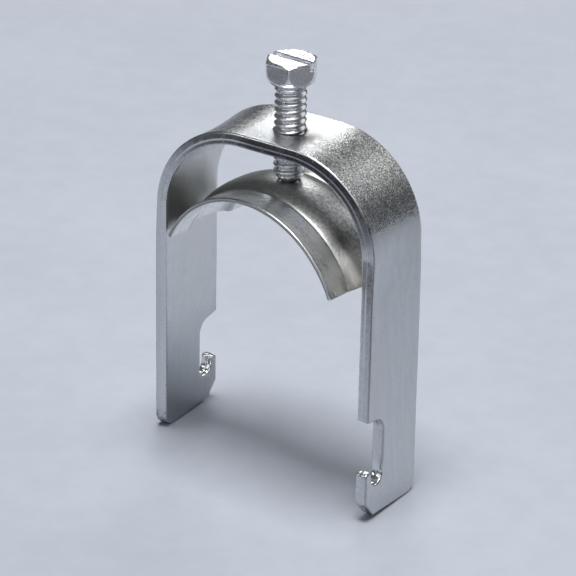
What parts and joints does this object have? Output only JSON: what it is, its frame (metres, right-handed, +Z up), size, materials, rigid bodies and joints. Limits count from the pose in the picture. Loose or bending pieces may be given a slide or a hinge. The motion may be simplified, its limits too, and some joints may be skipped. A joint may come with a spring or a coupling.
{
  "type": "strut pipe clamp",
  "caption": "U-shaped steel strap with hooked legs for strut channel, and a hex screw through the crown that presses a ribbed saddle onto the pipe.",
  "frame": {"origin": "on the floor under the screw's axis, midway between the two feet", "axes": "+Z up along the screw, X from the left leg to the right leg, the pipe runs along Y"},
  "size_m": [0.0426, 0.0216, 0.0644],
  "materials": {
    "strap_zinc": "zinc plated, mottled and shiny over the bends, satin on the legs",
    "saddle_zinc": "zinc plated, satin, pressed",
    "screw_zinc": "bright zinc plated, rolled thread"
  },
  "bodies": {
    "strap": {"strap": "strap_zinc"},
    "saddle": {"saddle": "saddle_zinc"},
    "screw": {"screw": "screw_zinc"}
  },
  "joints": [
    {"name": "saddle_travel", "type": "slide", "parent": "strap", "child": "saddle", "axis": [0, 0, 1], "range_m": [-0.0067, 0.0045]},
    {"name": "screw_turn", "type": "hinge", "parent": "saddle", "child": "screw", "pos_m": [0, 0, 0.0606], "axis": [0, 0, 1], "range_deg": [-2280, 1531]}
  ],
  "couplings": [
    {"joint": "screw_turn", "follows": "saddle_travel", "rad_per_m": 5936.9}
  ]
}
